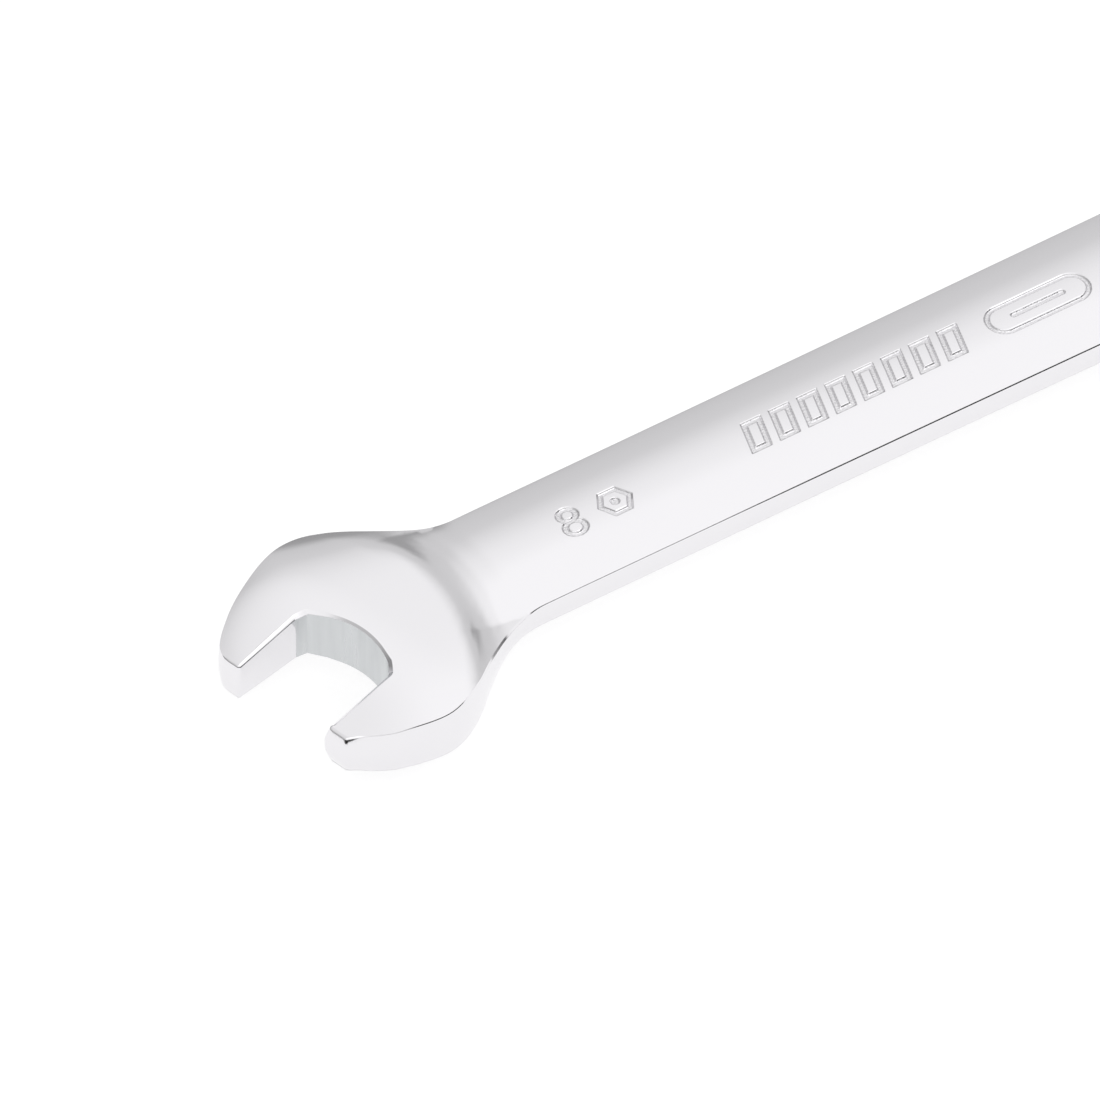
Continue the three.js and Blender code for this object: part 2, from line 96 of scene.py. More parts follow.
# ---- sizes of the ring's inside, its pawl pocket and its spring --------------------------------------
LIP_R = 5.583
BORE_R = 6.063
RECESS_R = 6.643
GROOVE_R = 6.963
HALF_BORE = 2.15
GROOVE_TOP = -2.775
GROOVE_BOTTOM = -3.30
LEAD_IN = 0.33
SLIDE = next(j for j in frame["joints"] if j["name"] == "pawl_slide")
TRAVEL = SLIDE["range_m"][1] / MM
ALONG = np.array(SLIDE["axis"][:2])
ACROSS = np.array([-ALONG[1], ALONG[0]])
PAWL_HEEL = 7.883
POCKET_NEAR = 0.189
POCKET_FAR = 2.689
POCKET_END = PAWL_HEEL + TRAVEL + 0.1
POCKET_HALF = 1.7
POCKET_CORNER = 0.25
SPRING_LINE = (POCKET_NEAR + POCKET_FAR) / 2
SPRING_START = 8.383
SPRING_LENGTH = 2.2
SPRING_END = SPRING_START + SPRING_LENGTH
SPRING_BORE = 0.92
SPRING_TURNS = 4
COIL_R = 0.66
WIRE_R = 0.14


def jaw_point(depth, side):
    """A place by its depth into the jaw and its distance to the side, from the nut's centre."""
    c, s = math.cos(JAW_TILT), math.sin(JAW_TILT)
    return np.array([depth * c - side * s, NUT_DROP + depth * s + side * c])


def unit(vectors):
    return vectors / np.linalg.norm(vectors, axis=1)[:, None]


def smooth_max(a, b, k):
    d = np.clip(0.5 + 0.5 * (a - b) / k, 0, 1)
    return b * (1 - d) + a * d + k * d * (1 - d)


def smooth_min(a, b, k):
    return -smooth_max(-a, -b, k)


def smooth_step(low, high, v):
    t = np.clip((v - low) / (high - low), 0, 1)
    return t * t * (3 - 2 * t)


def soft_curve(knots, blur):
    """A rounded line through a few knots, as a function."""
    xs, ys = np.array(knots, float).T
    fine = np.linspace(xs[0], xs[-1], 1200)
    flat = np.interp(fine, xs, ys)
    n = max(3, int(blur / (fine[1] - fine[0])) | 1)
    kernel = np.hanning(n + 2)[1:-1]
    kernel /= kernel.sum()
    padded = np.concatenate([np.full(n, flat[0]), flat, np.full(n, flat[-1])])
    soft = np.convolve(padded, kernel, "same")[n:-n]
    return lambda v: np.interp(v, fine, soft)


# ---- stamped marks: signed distances, negative inside ------------------------------------------------
def ring_mark(x, y, cx, cy, rx, ry, half):
    r = np.sqrt(((x - cx) / rx) ** 2 + ((y - cy) / ry) ** 2)
    return np.abs(r - 1) * min(rx, ry) - half


def segment_distance(x, y, ax, ay, bx, by):
    dx, dy = bx - ax, by - ay
    t = np.clip(((x - ax) * dx + (y - ay) * dy) / (dx * dx + dy * dy), 0, 1)
    return np.hypot(x - ax - t * dx, y - ay - t * dy)


def hexagon_mark(x, y, cx, cy, across, half):
    worst = np.full(np.shape(x), -1e9)
    for i in range(3):
        a = i * math.pi / 3 + math.pi / 6
        worst = np.maximum(worst, np.abs((x - cx) * math.cos(a) + (y - cy) * math.sin(a)))
    return np.abs(worst - across / 2) - half


def stadium_mark(x, y, x0, x1, cy, radius, half):
    d = segment_distance(x, y, x0 + radius, cy, x1 - radius, cy)
    return np.abs(d - radius) - half


def slanted_bar(x, y, cx, cy, width, height, lean):
    u = np.abs((x - cx) - lean * (y - cy)) - width / 2
    v = np.abs(y - cy) - height / 2
    return np.maximum(u, v)


def hollow_bar(x, y, cx, cy, width, height, lean, half):
    return np.abs(slanted_bar(x, y, cx, cy, width, height, lean)) - half


NUT_SIGN_X = 25.6
BAR_COUNT, BAR_X, BAR_STEP = 8, 37.1, 2.3
FRAME_LOW, FRAME_HIGH, FRAME_Y, FRAME_R = 56.2, 64.2, -0.1, 1.2


def marks(x, y):
    """A size number, a nut sign, a row of hollow slanted bars and a rounded frame round a short bar."""
    shapes = [
        ring_mark(x, y, 22.05, -0.58, 0.72, 0.62, 0.17),
        ring_mark(x, y, 22.15, 0.66, 0.62, 0.55, 0.17),
        hexagon_mark(x, y, NUT_SIGN_X, 0.0, 2.0, 0.17),
        np.hypot(x - NUT_SIGN_X, y) - 0.3,
        stadium_mark(x, y, FRAME_LOW, FRAME_HIGH, FRAME_Y, FRAME_R, 0.15),
        segment_distance(x, y, FRAME_LOW + 2, FRAME_Y, FRAME_HIGH - 2, FRAME_Y) - 0.2,
    ]
    for i in range(BAR_COUNT):
        shapes.append(hollow_bar(x, y, BAR_X + BAR_STEP * i, 0.05, 1.2, 2.35, 0.3, 0.19))
    return np.minimum.reduce(shapes)


# ---- height of the faces above mid plane -------------------------------------------------------------
fillet = soft_curve([(0, 0), (16.0, 0), (16.6, 0.12), (17.4, 0.48), (18.2, 0.74), (19.2, 0.91), (20.8, 1),
                     (60, 1)], 0.9)
neck_rise = soft_curve([(0, HALF_RING), (RING_R + 1.5, HALF_RING), (RING_R + 3.1, 2.75),
                        (RING_R + 4.6, 2.0), (RING_R + 6.4, 1.4), (RING_R + 9.5, 0.85),
                        (RING_R + 30, -2)], 1.7)


def half_width(x):
    return HALF_SHANK + (HALF_SHANK_RING - HALF_SHANK) * smooth_step(16, SPAN - 14, x)


def height(x, y, stamped=False):
    """Half thickness: the crowned head falls to the shank and the shank rises to the ring."""
    from_middle = np.hypot(np.minimum(x - 4.5, 0) * 1.02, y - HEAD_MID)
    from_middle = from_middle * (1 + 0.16 * smooth_step(3, 11, x) * smooth_step(0, 5, y))
    drop = HEAD_DROP - (HEAD_DROP - HEAD_DROP_NEAR) * smooth_step(1, -5, y)
    head = HEAD_HALF - drop * (from_middle / CROWN_R) ** CROWN_POWER
    depth = x * math.cos(JAW_TILT) + (y - NUT_DROP) * math.sin(JAW_TILT)
    head = smooth_min(head, NOSE_HALF + NOSE_SLOPE * (depth + REACH), 0.3)
    across = np.clip(np.abs(y) / half_width(x), 0, 1.02)
    shank = SHANK_EDGE + (SHANK_CENTRE - SHANK_EDGE) * (1 - across ** 2.2)
    # the fall is quick on the near side and in the middle, and drawn out under the upper cheek
    fall = np.hypot(x - FALL_X, y - FALL_Y)
    far_side = smooth_step(2.0, 6.5, y)
    share = fillet(fall) * (1 - far_side) + smooth_step(14.8, 21.5, fall) * far_side
    h = head + (np.minimum(shank, head) - head) * share
    ring_r = np.hypot(x - SPAN, y)
    h = smooth_max(h, neck_rise(ring_r), 0.18)
    h = np.where(ring_r < RING_R + 1.0, HALF_RING, h)
    if stamped:
        h = h - MARK_DEPTH * (1 - smooth_step(-0.07, 0.07, marks(x, y)))
    return h


def face_normals(x, y, stamped):
    e = 0.02
    gx = (height(x + e, y, stamped) - height(x - e, y, stamped)) / (2 * e)
    gy = (height(x, y + e, stamped) - height(x, y - e, stamped)) / (2 * e)
    return unit(np.stack([-gx, -gy, np.ones_like(gx)], axis=1))


# ---- outline of the forging --------------------------------------------------------------------------
def sweep_through(knots, spacing):
    """A smooth line through knots of x, y and heading in degrees."""
    path = []
    for (x0, y0, a0), (x1, y1, a1) in zip(knots[:-1], knots[1:]):
        p0, p3 = np.array([x0, y0]), np.array([x1, y1])
        turn = (a1 - a0 + 180) % 360 - 180
        reach = np.linalg.norm(p3 - p0) / (3 * math.cos(math.radians(turn / 4)) ** 2)
        p1 = p0 + reach * np.array([math.cos(math.radians(a0)), math.sin(math.radians(a0))])
        p2 = p3 - reach * np.array([math.cos(math.radians(a1)), math.sin(math.radians(a1))])
        n = max(3, int(np.linalg.norm(p3 - p0) / spacing))
        for t in np.linspace(0, 1, n + 1)[:-1]:
            back = 1 - t
            path.append(back ** 3 * p0 + 3 * back ** 2 * t * p1 + 3 * back * t * t * p2 + t ** 3 * p3)
    path.append(np.array(knots[-1][:2]))
    return path


def rounded(points, radius, steps=5):
    """A polyline with each inner corner turned by a small arc."""
    out = [points[0]]
    for before, corner, after in zip(points[:-2], points[1:-1], points[2:]):
        a = (before - corner) / np.linalg.norm(before - corner)
        b = (after - corner) / np.linalg.norm(after - corner)
        cut = radius / math.tan(max(0.05, math.acos(np.clip(a @ b, -1, 1)) / 2))
        start, end = corner + a * cut, corner + b * cut
        for t in np.linspace(0, 1, steps + 1):
            out.append((1 - t) ** 2 * start + 2 * (1 - t) * t * corner + t * t * end)
    out.append(points[-1])
    return out


def line(a, b, spacing):
    n = max(1, int(np.linalg.norm(b - a) / spacing))
    return [a + (b - a) * t for t in np.linspace(0, 1, n + 1)]


def densify(path, spacing):
    out = [path[0]]
    for a, b in zip(path[:-1], path[1:]):
        out.extend(line(a, b, spacing)[1:])
    return out


def throat():
    """The arc at the jaw's foot, from its upper end to its lower one."""
    upper = np.array([3.45, HALF_JAW - 0.28])
    lower = np.array([3.75, -HALF_JAW + 0.75])
    path = []
    for t in np.linspace(0, 1, 25):
        chord = upper + (lower - upper) * t
        path.append(jaw_point(chord[0] + 1.05 * 4 * t * (1 - t), chord[1]))
    return path


def lower_jaw(arc):
    """From the throat's lower end round the lower nose and along the lower cheek to the shank."""
    nose_in = jaw_point(-REACH, -HALF_JAW)
    nose_out = jaw_point(-REACH, -HALF_JAW - 1.6)
    cheek = sweep_through([(*nose_out, 338), (2.0, -10.25, 349), (5.1, -10.72, 0), (8.9, -9.15, 34),
                           (11.1, -7.42, 37.5), (16.8, -HALF_SHANK, 0)], 0.3)
    flat = rounded([arc[-1], jaw_point(3.0, -HALF_JAW), nose_in], 0.35)
    nose = rounded([flat[-2], nose_in, nose_out, cheek[2]], NOSE_CORNER)
    flat[-1] = nose_in - (nose_in - flat[-2]) * 0.065
    return [("flat", densify(flat, 0.4)), ("nose", densify(nose[1:-1], 0.15)), ("side", cheek[3:])]


def shank_and_ring():
    """Along the shank, through the neck's fillet, round the ring and back."""
    core = RING_R - RING_SWELL
    back = math.sqrt((core + NECK_FILLET) ** 2 - (HALF_SHANK_RING + NECK_FILLET) ** 2)
    share = core / (core + NECK_FILLET)
    touch = np.array([SPAN - back * share, (HALF_SHANK_RING + NECK_FILLET) * share])
    lean = math.degrees(math.asin(back / (core + NECK_FILLET)))
    xs = np.linspace(17.4, SPAN - back - 0.6, 130)
    start = math.atan2(-touch[1], touch[0] - SPAN)
    around = np.linspace(start, -start, 150)[1:-1]
    return [
        ("side", [np.array([x, -half_width(x)]) for x in xs]),
        ("side", sweep_through([(SPAN - back, -HALF_SHANK_RING, 0), (touch[0], -touch[1], -lean)], 0.3)),
        ("ring", [np.array([SPAN + core * math.cos(a), core * math.sin(a)]) for a in around]),
        ("side", sweep_through([(*touch, 180 + lean), (SPAN - back, HALF_SHANK_RING, 180)], 0.3)),
        ("side", [np.array([x, half_width(x)]) for x in xs[::-1]]),
    ]


def upper_jaw(arc):
    """From the shank along the upper cheek, round the upper nose and into the throat."""
    nose_out = jaw_point(-REACH, HALF_JAW + 1.0)
    nose_in = jaw_point(-REACH, HALF_JAW)
    cheek = sweep_through([(15.9, HALF_SHANK - 0.02, 180), (9.7, 6.9, 145.5), (5.5, 8.92, 180),
                           (0.6, 7.05, 211.8), (-2.3, 4.95, 222.6), (*nose_out, 285)], 0.3)
    nose = rounded([nose_out, nose_in, jaw_point(0, HALF_JAW)], NOSE_CORNER)
    flat = rounded([nose[-2], jaw_point(2.55, HALF_JAW), arc[0], arc[4]], 0.1)
    return [("side", cheek[1:-1]), ("nose", densify(nose[:-2], 0.15)), ("flat", densify(flat[1:-1], 0.4)),
            ("throat", arc[4:-1])]


def outline():
    """Closed loop, anticlockwise, with what kind of wall stands on each point."""
    arc = throat()
    points, kinds = [], []
    for kind, path in lower_jaw(arc) + shank_and_ring() + upper_jaw(arc):
        for p in path:
            if points and np.linalg.norm(p - points[-1]) < 0.02:
                continue
            points.append(np.array(p))
            kinds.append(kind)
    if np.linalg.norm(points[0] - points[-1]) < 0.02:
        points.pop()
        kinds.pop()
    return np.array(points), kinds


def loop_normals(p):
    """Outward directions at the points of an anticlockwise loop."""
    before, after = np.roll(p, 1, axis=0), np.roll(p, -1, axis=0)
    along = unit(unit(p - before) + unit(after - p))
    return np.stack([along[:, 1], -along[:, 0]], axis=1)


def around_loop(values, reach):
    """Values averaged with their neighbours along a closed loop."""
    out = values.astype(float)
    for _ in range(reach):
        out = (np.roll(out, 1) + out * 2 + np.roll(out, -1)) / 4
    return out


def inside(points, loop):
    """Which points lie inside a closed loop."""
    hit = np.zeros(len(points), bool)
    x, y = points[:, 0], points[:, 1]
    for (x0, y0), (x1, y1) in zip(loop, np.roll(loop, -1, axis=0)):
        crosses = (y0 > y) != (y1 > y)
        if not crosses.any():
            continue
        with np.errstate(divide="ignore", invalid="ignore"):
            at = x0 + (y - y0) * (x1 - x0) / (y1 - y0)
        hit ^= crosses & (x < at)
    return hit


def grid_points(x0, x1, y0, y1, spacing):
    """Points in staggered rows."""
    rows = np.arange(y0, y1, spacing * 0.87)
    out = []
    for i, y in enumerate(rows):
        xs = np.arange(x0 + (spacing / 2 if i % 2 else 0), x1, spacing)
        out.append(np.stack([xs, np.full(len(xs), y)], axis=1))
    return np.concatenate(out)


def face_mesh(loop, hole, stamped):
    """One face in plan, inside the loop and outside the round hole.

    Gives its points, its triangles and where the loop's points are among its points."""
    turn, _, _ = ring_turns()
    ring = hole * np.stack([np.cos(turn), np.sin(turn)], axis=1) + [SPAN, 0]
    coarse = [grid_points(-6, 17.5, -11, 10, 0.42), grid_points(17.5, SPAN - 20, -6, 6, 0.62),
              grid_points(SPAN - 20, SPAN + 9, -9, 9, 0.42)]
    if stamped:
        x0, x1, y0, y1 = MARK_ZONE
        keep = []
        for part in coarse:
            away = (part[:, 0] < x0) | (part[:, 0] > x1) | (part[:, 1] < y0) | (part[:, 1] > y1)
            keep.append(part[away])
        fine = grid_points(*MARK_ZONE, 0.075)
        d = np.abs(marks(fine[:, 0], fine[:, 1]))
        pick = (d < 0.17) | (np.random.default_rng(4).random(len(fine)) < 0.10)
        coarse = keep + [fine[pick]]
    cloud = np.concatenate(coarse)
    cloud = cloud[inside(cloud, loop)]
    cloud = cloud[np.hypot(cloud[:, 0] - SPAN, cloud[:, 1]) > hole + 0.2]
    near = np.full(len(cloud), 1e9)
    for p in loop:
        near = np.minimum(near, (cloud[:, 0] - p[0]) ** 2 + (cloud[:, 1] - p[1]) ** 2)
    cloud = cloud[near > 0.22 ** 2]
    every = np.concatenate([loop, ring, cloud])
    n, m = len(loop), len(ring)
    edges = [(i, (i + 1) % n) for i in range(n)] + [(n + i, n + (i + 1) % m) for i in range(m)]
    verts, _, tris, from_verts, _, _ = delaunay_2d_cdt([Vector(p) for p in every], edges, [], 0, 1e-7)
    verts = np.array([tuple(v) for v in verts])
    tris = np.array(tris)
    middle = verts[tris].mean(axis=1)
    tris = tris[inside(middle, loop) & ~inside(middle, ring)]
    place = np.full(len(every), -1)
    for i, group in enumerate(from_verts):
        for j in group:
            place[j] = i
    a, b, c = (verts[tris[:, k]] for k in range(3))
    turn = (b[:, 0] - a[:, 0]) * (c[:, 1] - a[:, 1]) - (b[:, 1] - a[:, 1]) * (c[:, 0] - a[:, 0])
    tris[turn < 0] = tris[turn < 0][:, ::-1]
    return verts, tris, place[:n]


class Builder:
    """Collects vertices with their normals and faces with their material slots."""

    def __init__(self):
        self.points, self.normals, self.faces, self.slots = [], [], [], []
        self.marks = []

    def add(self, points, normals, mark=None):
        start = len(self.points)
        self.points.extend(map(tuple, points))
        self.normals.extend(map(tuple, normals))
        self.marks.extend([0.0] * len(points) if mark is None else list(mark))
        return start

    def face(self, corners, slot=0):
        self.faces.append(tuple(int(c) for c in corners))
        self.slots.append(slot)

    def strip(self, a, b):
        for i in range(len(a)):
            j = (i + 1) % len(a)
            self.face((a[i], b[i], b[j], a[j]))

    def make(self, name, materials, place):
        mesh = bpy.data.meshes.new(name)
        pts = (np.array(self.points) + np.array(place)) * MM
        mesh.from_pydata([tuple(p) for p in pts], [], self.faces)
        for material in materials:
            mesh.materials.append(material)
        mesh.polygons.foreach_set("material_index", self.slots)
        mesh.polygons.foreach_set("use_smooth", [True] * len(self.faces))
        layer = mesh.attributes.new("stamped", "FLOAT", "POINT")
        layer.data.foreach_set("value", np.array(self.marks, np.float32))
        mesh.update()
        mesh.normals_split_custom_set_from_vertices([tuple(n) for n in self.normals])
        obj = bpy.data.objects.new(name, mesh)
        bpy.context.scene.collection.objects.link(obj)
        return obj


# ---- skin of the forging -----------------------------------------------------------------------------
CHROME, MACHINED, SATIN = 0, 1, 2
EDGE_SHARES = (0.07, 0.35, 0.65, 0.93, 1.0)
WALL_ROWS = 7
# kind of wall: edge's width across and down, swell of the wall, how flat the edge is cut, and its lean
WALLS = {
    "flat": (0.3, 0.3, 0.0, 1.0, 0.5),
    "throat": (0.17, 0.17, 0.0, 1.0, 0.5),
    "nose": (0.2, 0.22, 0.18, 0.0, 0.5),
    "side": (0.02, 0.04, 0.12, 1.0, 0.66),
    "ring": (0.5, 0.55, RING_SWELL, 0.0, 0.5),
}


def wall_sizes(points, kinds):
    """The five sizes of WALLS at each outline point, eased from one kind of wall to the next."""
    across, down, swell, cut, lean = np.array([WALLS[k] for k in kinds]).T
    ring_across, ring_down, ring_swell, ring_cut, _ = WALLS["ring"]
    near_ring = smooth_step(SPAN - 13, SPAN - 7, points[:, 0])
    across = across + (ring_across - across) * near_ring
    down = down + (ring_down - down) * near_ring
    swell = swell + (ring_swell - swell) * near_ring
    cut = cut + (ring_cut - cut) * near_ring
    side = np.array([k == "side" for k in kinds])
    near = points[:, 1] < 0
    # the near edge is cut wider in the hollow where the lower cheek meets the shank
    hollow = smooth_step(8.5, 10.5, points[:, 0]) * (1 - smooth_step(13, 17, points[:, 0])) * near
    lean = lean - 0.16 * hollow * side
    wider = 0.03 * smooth_step(28, 40, points[:, 0]) + 0.014 * (points[:, 0] < 10) + 0.09 * hollow
    across = across + wider * side * near
    down = down + 2 * wider * side * near
    near_nose = smooth_step(-3, -6, points[:, 1]) * (1 - smooth_step(-1, 5, points[:, 0])) * (swell > 0)
    swell = swell + 0.2 * near_nose
    return [around_loop(v, 2) for v in (across, down, swell, cut, lean)]


def add_face(build, inset, hole, upper):
    """One crowned face, with marks on the upper one. Gives the places of its rim's points."""
    plan, tris, rim = face_mesh(inset, hole, upper)
    x, y = plan[:, 0], plan[:, 1]
    way = 1 if upper else -1
    mark = 1 - smooth_step(-0.1, 0.02, marks(x, y)) if upper else None
    points = np.column_stack([plan, way * height(x, y, upper)])
    start = build.add(points, face_normals(x, y, upper) * [1, 1, way], mark)
    for t in tris:
        build.face((t + start)[::way])
    return rim + start


def add_upper_wall(build, points, inset, normal, sizes):
    """Rows of points from under the upper face's rim down to the middle plane."""
    across, down, swell, cut, lean = sizes
    places = np.arange(len(points))
    rim_height = height(inset[:, 0], inset[:, 1])
    shoulder = rim_height - down
    steep = 2 * swell / np.maximum(shoulder, 0.3)
    flat = np.column_stack([normal, np.zeros(len(normal))])
    face_normal = face_normals(inset[:, 0], inset[:, 1], False)
    side_normal = unit(flat + np.outer(steep, [0, 0, 1]))
    bevel_normal = unit(face_normal * (1 - lean)[:, None] + side_normal * lean[:, None])
    cut_column = cut[:, None]
    rows = []
    # each edge row mixes a flat cut with a rounded one
    for share in EDGE_SHARES:
        angle = share * math.pi / 2
        out = across * (cut * (share - 1) + (1 - cut) * (math.sin(angle) - 1))
        up = rim_height - down * (cut * share + (1 - cut) * (1 - math.cos(angle)))
        place = points + normal * out[:, None]
        round_normal = face_normal * math.cos(angle) + side_normal * math.sin(angle)
        flat_normal = side_normal if share == 1.0 else bevel_normal
        mixed = unit(round_normal * (1 - cut_column) + flat_normal * cut_column)
        rows.append(build.add(np.column_stack([place, up]), mixed) + places)
    for share in np.linspace(1, 0, WALL_ROWS + 1)[1:]:
        place = points + normal * (swell * (1 - share ** 2))[:, None]
        swollen = unit(flat + np.outer(steep * share, [0, 0, 1]))
        rows.append(build.add(np.column_stack([place, shoulder * share]), swollen) + places)
    return rows


def mirror_wall(build, rows):
    """The same rows under the middle plane; the last one lies on it and is shared."""
    mirrored = []
    for row in rows[:-1]:
        points = np.array([build.points[i] for i in row]) * [1, 1, -1]
        normals = np.array([build.normals[i] for i in row]) * [1, 1, -1]
        mirrored.append(build.add(points, normals) + np.arange(len(row)))
    return mirrored + [rows[-1]]


def forging_mesh(materials):
    points, kinds = outline()
    normal = loop_normals(points)
    sizes = wall_sizes(points, kinds)
    inset = points - normal * sizes[0][:, None]
    machined = np.array([k in ("flat", "throat") for k in kinds])
    count = len(points)
    build = Builder()

    def skin(rows, way):
        for number, (a, b) in enumerate(zip(rows[:-1], rows[1:])):
            for i in range(count):
                j = (i + 1) % count
                worked = machined[i] and machined[j] and number >= len(EDGE_SHARES)
                build.face((a[i], b[i], b[j], a[j])[::way], MACHINED if worked else CHROME)

    upper_rim = add_face(build, inset, LIP_R + LEAD_IN, True)
    upper = add_upper_wall(build, points, inset, normal, sizes)
    skin([upper_rim] + upper, 1)
    lower_rim = add_face(build, inset, RECESS_R + 0.1, False)
    skin([lower_rim] + mirror_wall(build, upper), -1)
    bore(build)
    return build.make("wrench_body_skin", materials, (NUT_X, AXIS_Y, MID_Z))


# ---- inside of the ring ------------------------------------------------------------------------------
def pocket_point(s, n):
    """A place by its distance along the pawl's travel and across it, from the ring's axis."""
    return ALONG * s + ACROSS * n


def ring_turns():
    """Angles of the points round the bore, and the two of them at the sides of the pocket's mouth."""
    sides = []
    for n in (POCKET_NEAR, POCKET_FAR):
        p = pocket_point(math.sqrt(BORE_R ** 2 - n ** 2), n)
        sides.append(math.atan2(p[1], p[0]) % (2 * math.pi))
    first, last = sorted(sides)
    turn = np.linspace(0, 2 * math.pi, 97)[:-1]
    turn = turn[(np.abs(turn - first) > 0.02) & (np.abs(turn - last) > 0.02)]
    return np.sort(np.concatenate([turn, [first, last]])), first, last


def bore(build):
    """The stepped hole through the ring, from the upper lip down, open at the pocket."""
    top = HALF_RING
    profile = [
        (LIP_R + LEAD_IN, top),
        (LIP_R, top - 0.28),
        (LIP_R, HALF_BORE),
        (BORE_R, HALF_BORE),
        (BORE_R, POCKET_HALF),
        (BORE_R, -POCKET_HALF),
        (BORE_R, -HALF_BORE),
        (RECESS_R, -HALF_BORE),
        (RECESS_R, GROOVE_TOP),
        (GROOVE_R, GROOVE_TOP),
        (GROOVE_R, GROOVE_BOTTOM),
        (RECESS_R, GROOVE_BOTTOM),
        (RECESS_R + 0.1, -top),
    ]

    turn, first, last = ring_turns()
    ring = np.column_stack([np.cos(turn), np.sin(turn)])
    for (r0, z0), (r1, z1) in zip(profile[:-1], profile[1:]):
        dr, dz = r1 - r0, z1 - z0
        size = math.hypot(dr, dz)
        out, up = dz / size, -dr / size
        n = np.column_stack([ring * out, np.full(len(ring), up)])
        a = build.add(np.column_stack([ring * r0 + [SPAN, 0], np.full(len(ring), z0)]), n)
        b = build.add(np.column_stack([ring * r1 + [SPAN, 0], np.full(len(ring), z1)]), n)
        window = z0 == POCKET_HALF
        for i in range(len(ring)):
            j = (i + 1) % len(ring)
            if window and first <= turn[i] < last:
                continue
            build.face((b + j, b + i, a + i, a + j), SATIN)
    pocket(build)


def pocket(build):
    """The pocket's walls, floor and ceiling, in line with the bore's points at its mouth."""
    near, far, end, corner = POCKET_NEAR, POCKET_FAR, POCKET_END, POCKET_CORNER
    path = [(math.sqrt(BORE_R ** 2 - near ** 2), near), (end - corner, near), (end, near + corner),
            (end, far - corner), (end - corner, far), (math.sqrt(BORE_R ** 2 - far ** 2), far)]
    plan = [pocket_point(s, n) + [SPAN, 0] for s, n in path]
    centre = np.mean(plan, axis=0)
    end_wall = 2
    for i, (a, b) in enumerate(zip(plan[:-1], plan[1:])):
        along = (b - a) / np.linalg.norm(b - a)
        n = np.array([along[1], -along[0]])
        if n @ (centre - a) < 0:
            a, b, n = b, a, -n
        quad = [(*a, POCKET_HALF), (*a, -POCKET_HALF), (*b, -POCKET_HALF), (*b, POCKET_HALF)]
        start = build.add(quad, [(*n, 0)] * 4)
        if i == end_wall:
            spring_hole(build, start, n)
        else:
            build.face((start, start + 1, start + 2, start + 3), SATIN)
    turn, first, last = ring_turns()
    mouth = [BORE_R * np.array([math.cos(t), math.sin(t)]) + [SPAN, 0] for t in turn if first < t < last]
    if np.linalg.norm(mouth[0] - plan[-1]) > np.linalg.norm(mouth[-1] - plan[-1]):
        mouth.reverse()
    edge = np.array(plan + mouth)
    ahead = np.roll(edge, -1, axis=0)
    area = np.sum(edge[:, 0] * ahead[:, 1] - edge[:, 1] * ahead[:, 0])
    for z in (POCKET_HALF, -POCKET_HALF):
        start = build.add([(*p, z) for p in edge], [(0, 0, -1 if z > 0 else 1)] * len(edge))
        ring = range(start, start + len(edge))
        build.face(ring if (area > 0) == (z < 0) else list(ring)[::-1], SATIN)


def spring_hole(build, corners, n):
    """The pocket's end wall, whose corners are in build already, and the spring's blind hole behind it."""
    count = 32
    quarter = count // 4
    turn = np.linspace(0, 2 * math.pi, count + 1)[:-1]
    wide = np.array([-n[1], n[0]])

    def rim(s, normals):
        foot = pocket_point(s, SPRING_LINE) + [SPAN, 0]
        points = [(*(foot + wide * SPRING_BORE * math.cos(t)), SPRING_BORE * math.sin(t)) for t in turn]
        return build.add(points, normals)

    wall_normals = [(*(-wide * math.cos(t)), -math.sin(t)) for t in turn]
    flat_normals = [(*n, 0)] * count
    bottom_at = SPRING_END + 0.05
    mouth = rim(POCKET_END, flat_normals)
    top, bottom = rim(POCKET_END, wall_normals), rim(bottom_at, wall_normals)
    end_ring = rim(bottom_at, flat_normals)
    build.face(range(end_ring, end_ring + count), SATIN)
    foot = np.array([*(pocket_point(POCKET_END, SPRING_LINE) + [SPAN, 0]), 0])

    def bearing(k):
        away = np.array(build.points[corners + k]) - foot
        return math.atan2(away[2], away[:2] @ wide) % (2 * math.pi)

    order = [corners + k for k in sorted(range(4), key=bearing)]
    for i in range(count):
        j = (i + 1) % count
        build.face((mouth + j, mouth + i, order[i // quarter]), SATIN)
        build.face((top + i, top + j, bottom + j, bottom + i), SATIN)
        if i % quarter == 0:
            build.face((order[i // quarter], mouth + i, order[i // quarter - 1]), SATIN)


